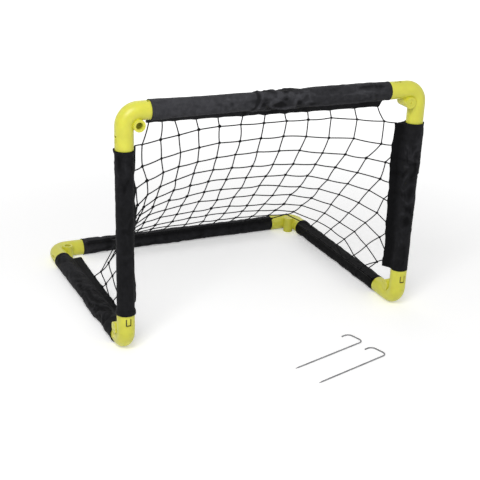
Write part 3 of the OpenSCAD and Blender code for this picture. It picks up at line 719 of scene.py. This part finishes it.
def strand_paths(every, next_to, ends, rows, columns, rng):
    """The knot that each strand starts from and its path[strand, step]: a cubic curve between its two ends that
    leaves a knot turned a little towards the net's direction there, and hangs a little slack, by 4 t (1 - t).
    Strands run from each knot to the right and down, and from each knot to its held ends."""
    count = len(next_to)
    strands = np.array([(n, next_to[n, k], k) for k in (0, 3) for n in range(count) if next_to[n, k] < count]
                       + [(n, count + e, k) for e, (n, k, _) in enumerate(ends)])
    a, b, k = strands.T
    chord = every[b] - every[a]

    def slope(at):
        knot = np.minimum(at, count - 1)
        way = np.where((k % 2 == 0)[:, None], unit(rows)[knot], unit(columns)[knot])
        way = way * np.sign(np.sum(way * chord, 1, keepdims=True))
        way = np.where((at >= count)[:, None], unit(chord), way)
        return (unit(between(unit(chord), way, BEND)) * np.linalg.norm(chord, axis=1, keepdims=True))[:, None]

    t = np.linspace(0, 1, CORD_STEPS)[None, :, None]
    path = ((2 * t ** 3 - 3 * t ** 2 + 1) * every[a][:, None] + (t ** 3 - 2 * t ** 2 + t) * slope(a)
            + (3 * t ** 2 - 2 * t ** 3) * every[b][:, None] + (t ** 3 - t ** 2) * slope(b))
    slack = rng.normal(0, 0.0009, (len(strands), 1, 3)) + np.array([0, 0, -0.0008])
    return a, path + slack * (4 * t * (1 - t))


def knot_lumps(places, axes, size):
    """A lump at each knot with two crossing turns of cord: a sphere, flattened and capped, whose radius swells along
    two bands. Returns the points, the quads and the UV of each corner."""
    phi = np.linspace(0.12, math.pi - 0.12, LUMP_ROWS)[:, None]
    turn = np.arange(LUMP_SIDES)[None, :] / LUMP_SIDES * 2 * math.pi
    ball = np.stack([np.sin(phi) * np.cos(turn), np.sin(phi) * np.sin(turn), np.cos(phi) + 0 * turn], -1)
    band = 1 + 0.16 * np.cos(2 * turn[..., None] + 2.5 * phi[..., None])
    ball = ball * band * np.array([1.15, 1.0, 0.82])
    points = places[:, None, None] + size[:, None, None, None] * np.einsum("rsa,nab->nrsb", ball, axes)
    cap = np.array([[0, 1, 2, 3], [0, 3, 4, 5], [0, 5, 6, 7], [0, 7, 8, 9]])
    meshes = (grid_faces(LUMP_ROWS, LUMP_SIDES), cap[:, ::-1], cap + (LUMP_ROWS - 1) * LUMP_SIDES)
    quads = np.vstack([copies(mesh, len(places), LUMP_ROWS * LUMP_SIDES) for mesh in meshes])
    uv = np.zeros((len(quads), 4, 2))
    uv[..., 0] = np.array([0, 0, 0.002, 0.002])
    uv[..., 1] = np.array([0, 0.1, 0.1, 0])
    return points.reshape(-1, 3), quads, uv


def add_net(sizes, material, sleeves, seed):
    """The net as one piece: cords bent smoothly through the knots by cubic curves, and a lump of cord at each knot."""
    knots, next_to, ends = net_table(sizes)
    held, tips = (np.array([sleeves[name].hold(np.array(at), inside) for _, _, (name, at) in ends])
                  for inside in (0.0, TIE_INSIDE))
    places = settle(knots, next_to, ends, held, sizes)
    rng = np.random.default_rng(seed)
    rows, columns = net_directions(np.vstack([places, tips]), next_to)
    normal = unit(np.cross(rows, columns))
    places = places + rng.normal(0, KNOT_SPREAD, places.shape)
    every = np.vstack([places, tips])
    rows, columns = net_directions(every, next_to)
    first, path = strand_paths(every, next_to, ends, rows, columns, rng)
    points, quads, uv = tubes(path, normal[first][:, None] + np.zeros_like(path), sizes.cord / 2)
    axes = np.stack([unit(rows + 0.5 * columns), unit(columns - 0.5 * rows), normal], 1)
    size = sizes.cord * (1.15 + 0.12 * rng.normal(0, 1, len(knots)))
    lump_points, lump_quads, lump_uv = knot_lumps(places, axes, size)
    piece = new_piece("knotted_net", np.vstack([points, lump_points]), np.vstack([quads, lump_quads + len(points)]),
                      "cord", np.vstack([uv, lump_uv]), material)
    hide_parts("net")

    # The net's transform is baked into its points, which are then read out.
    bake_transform(piece)
    co = np.empty(len(piece.data.vertices) * 3, np.float32)
    piece.data.vertices.foreach_get("co", co)
    return piece


# ---- Operators ----

class GOAL_OT_studio(bpy.types.Operator):
    """Adds the camera, the floor, the world and three soft lamps"""
    bl_idname = "goal.studio"
    bl_label = "Add Studio"

    def execute(self, context):
        scene, studio = context.scene, context.scene.goal_studio
        scene.view_settings.view_transform = "Standard"
        yaw, pitch, roll = studio.yaw, studio.pitch, studio.roll
        ahead = Vector((math.sin(yaw) * math.cos(pitch), math.cos(yaw) * math.cos(pitch), -math.sin(pitch)))
        level = Vector((math.cos(yaw), -math.sin(yaw), 0))
        above = level.cross(ahead)
        right = math.cos(roll) * level + math.sin(roll) * above
        up = math.cos(roll) * above - math.sin(roll) * level
        data = bpy.data.cameras.new("Camera")
        data.lens, data.sensor_width = studio.lens, 36.0
        data.shift_x, data.shift_y = studio.shift
        data.clip_end = 50.0
        camera = bpy.data.objects.new("Camera", data)
        turn = Matrix((right, up, -ahead)).transposed().to_4x4()
        camera.matrix_world = Matrix.Translation(Vector(studio.position) + Vector((0, POST_Y, BASE_Z))) @ turn
        scene.collection.objects.link(camera)
        scene.camera = camera

        size = 12.0
        mesh = bpy.data.meshes.new("floor")
        mesh.from_pydata([(-size, -size, 0), (size, -size, 0), (size, size, 0), (-size, size, 0)], [], [(0, 1, 2, 3)])
        floor = bpy.data.objects.new("floor", mesh)
        scene.collection.objects.link(floor)
        f = Finish("Pale floor")
        far = f.add("ShaderNodeVectorMath", {"operation": "LENGTH"}, {0: f.place()}, output="Value")
        lit = f.seen() * far.ramp(0.6, 3.0, studio.floor_light, studio.floor_light + 0.45)
        mesh.materials.append(f.surface(Base_Color=(*context.scene.goal_colours.floor, 1), Roughness=0.9,
                                        Specular_IOR_Level=0.1, Emission_Color=f.mix(lit, (0, 0, 0), (1, 1, 1)),
                                        Emission_Strength=1.0))

        # White where the camera, a gloss or clear stuff looks at it, and a softer light on everything else.
        w = Finish("Studio", bpy.data.worlds.new("Studio"))
        soft, plain = (w.add("ShaderNodeBackground", {}, {"Color": (1, 1, 1, 1), "Strength": strength})
                       for strength in (studio.world_light, 1.0))
        mix = w.add("ShaderNodeMixShader", {}, {0: w.seen(), 1: soft, 2: plain})
        w.add("ShaderNodeOutputWorld", {}, {"Surface": mix})
        scene.world = w.owner

        for name, place, width, power in (("key", (-1.5, -2.0, 2.6), 1.5, studio.key),
                                          ("fill", (2.6, -2.4, 2.0), 2.4, studio.fill),
                                          ("back", (0.4, 2.6, 3.0), 2.6, studio.back)):
            light = bpy.data.lights.new(name, "AREA")
            light.shape, light.size, light.energy = "SQUARE", width, power
            lamp = bpy.data.objects.new(name, light)
            lamp.location = place
            lamp.rotation_euler = (Vector((0, 0, 0.2)) - Vector(place)).to_track_quat("-Z", "Y").to_euler()
            scene.collection.objects.link(lamp)
        return {"FINISHED"}


class GOAL_OT_hard_parts(bpy.types.Operator):
    """Gives the elbows, nuts, tubes, bolts and pegs their plastic and metal finishes"""
    bl_idname = "goal.hard_parts"
    bl_label = "Finish Hard Parts"

    def execute(self, context):
        colours = context.scene.goal_colours
        finishes = {"elbow_plastic": lime_plastic(tuple(colours.plastic)),
                    "frame_steel": coated_steel(tuple(colours.steel)),
                    # The bolts get the darkened lime: painted shade of their recesses and a painted reflection of the
                    # lime.
                    "bolt_steel": zinc_steel("Yellow plated bolt", tuple(colours.bolt), 0.5),
                    "peg_wire": zinc_steel("Dull zinc wire", shade(colours.zinc, 0.7), 0.42)}
        slots = {s["node"]: s["material_slot"] for s in frame["record"]["subparts"]}
        for node, piece in frame["nodes"].items():
            if slots.get(node) in finishes:
                piece.data.materials.clear()
                piece.data.materials.append(finishes[slots[node]])
        return {"FINISHED"}


class GOAL_OT_sleeves(bpy.types.Operator):
    """Covers the six tubes with creased cloth sleeves"""
    bl_idname = "goal.sleeves"
    bl_label = "Add Sleeves"

    def execute(self, context):
        sizes, colours = context.scene.goal_sizes, context.scene.goal_colours
        material = woven_cloth(tuple(colours.cloth))
        _, _, ends = net_table(sizes)
        for key, sleeve in all_sleeves(sizes).items():
            add_sleeve(sleeve, sizes, material, [at for _, _, (name, at) in ends if name == key])
        return {"FINISHED"}


class GOAL_OT_net(bpy.types.Operator):
    """Hangs the knotted net between the sleeves' flaps"""
    bl_idname = "goal.net"
    bl_label = "Add Net"

    def execute(self, context):
        sizes = context.scene.goal_sizes
        material = twisted_cord(tuple(context.scene.goal_colours.cord))
        add_net(sizes, material, all_sleeves(sizes), context.scene.goal_studio.seed)
        return {"FINISHED"}


class GOAL_PT_panel(bpy.types.Panel):
    """The goal's steps and settings"""
    bl_label = "Folding Goal"
    bl_idname = "GOAL_PT_panel"
    bl_space_type = "VIEW_3D"
    bl_region_type = "UI"
    bl_category = "Goal"

    def draw(self, context):
        for operator in OPERATORS:
            self.layout.operator(operator.bl_idname)
        for name in ("goal_sizes", "goal_colours", "goal_studio"):
            group = getattr(context.scene, name)
            box = self.layout.box()
            for key in group.__annotations__:
                box.prop(group, key)


OPERATORS = (GOAL_OT_studio, GOAL_OT_hard_parts, GOAL_OT_sleeves, GOAL_OT_net)
GROUPS = {"goal_sizes": GoalSizes, "goal_colours": GoalColours, "goal_studio": GoalStudio}


def register():
    for cls in (*GROUPS.values(), *OPERATORS, GOAL_PT_panel):
        bpy.utils.register_class(cls)
    for name, group in GROUPS.items():
        setattr(bpy.types.Scene, name, PointerProperty(type=group))


def unregister():
    for name in GROUPS:
        delattr(bpy.types.Scene, name)
    for cls in reversed((*GROUPS.values(), *OPERATORS, GOAL_PT_panel)):
        bpy.utils.unregister_class(cls)


def main():
    register()
    bpy.ops.goal.studio()
    bpy.ops.goal.hard_parts()
    bpy.ops.goal.sleeves()
    bpy.ops.goal.net()


if __name__ == "__main__":
    main()
